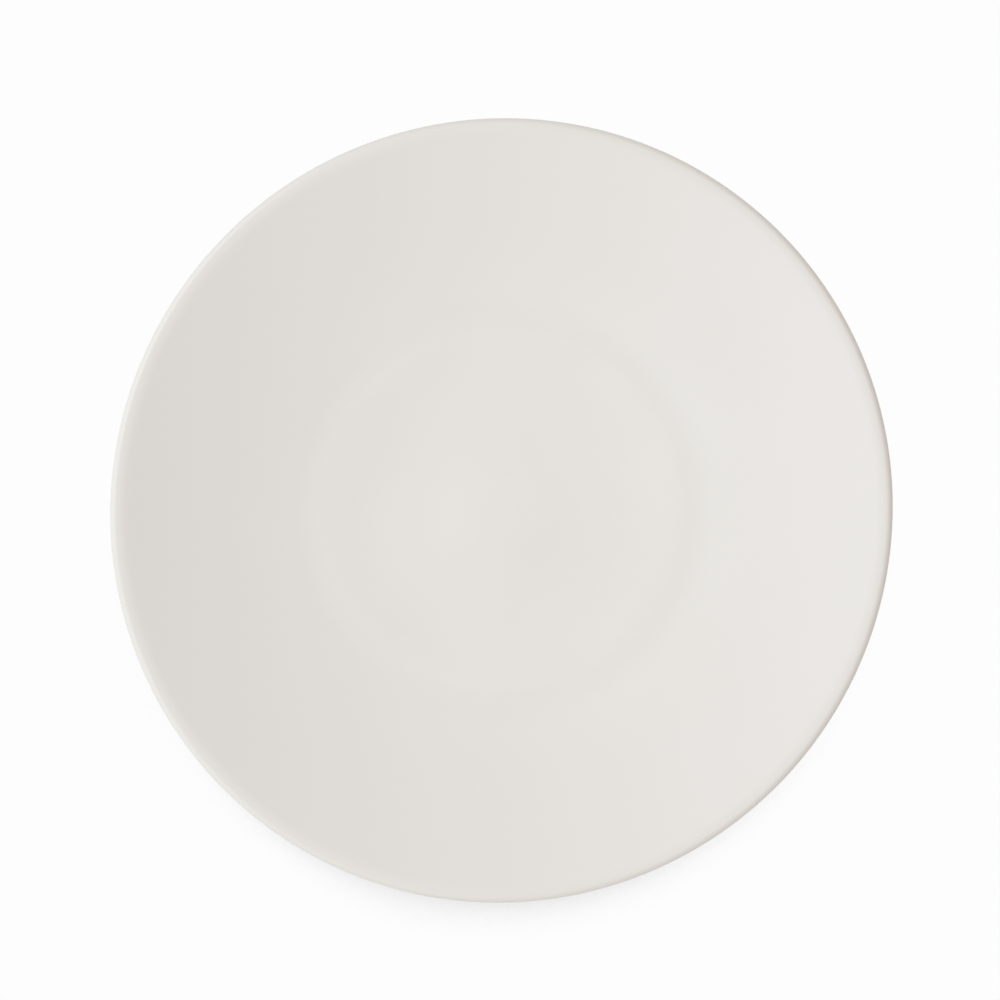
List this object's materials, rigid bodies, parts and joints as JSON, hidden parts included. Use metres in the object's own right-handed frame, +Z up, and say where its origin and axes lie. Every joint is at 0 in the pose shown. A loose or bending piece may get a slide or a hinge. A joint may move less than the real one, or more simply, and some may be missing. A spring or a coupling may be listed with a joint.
{
  "type": "charger plate",
  "caption": "Round coupe charger plate in ivory-glazed porcelain, with a shallow crowned well, a curved flank, a rolled lip and a bare foot ring.",
  "frame": {"origin": "centre of the foot ring, on the plane that it rests on", "axes": "+Z up along the plate's axis, out of its face; +Y towards the top of the face in the picture; +X towards its right"},
  "size_m": [0.3146, 0.3154, 0.026],
  "materials": {
    "bare_porcelain": "matt, unglazed, fine grained",
    "ivory_glaze": "smooth, softly glossy, warm white"
  },
  "bodies": {
    "root": {"porcelain_body": "bare_porcelain", "glaze_coat": "ivory_glaze", "base_glaze": "ivory_glaze"}
  },
  "joints": []
}
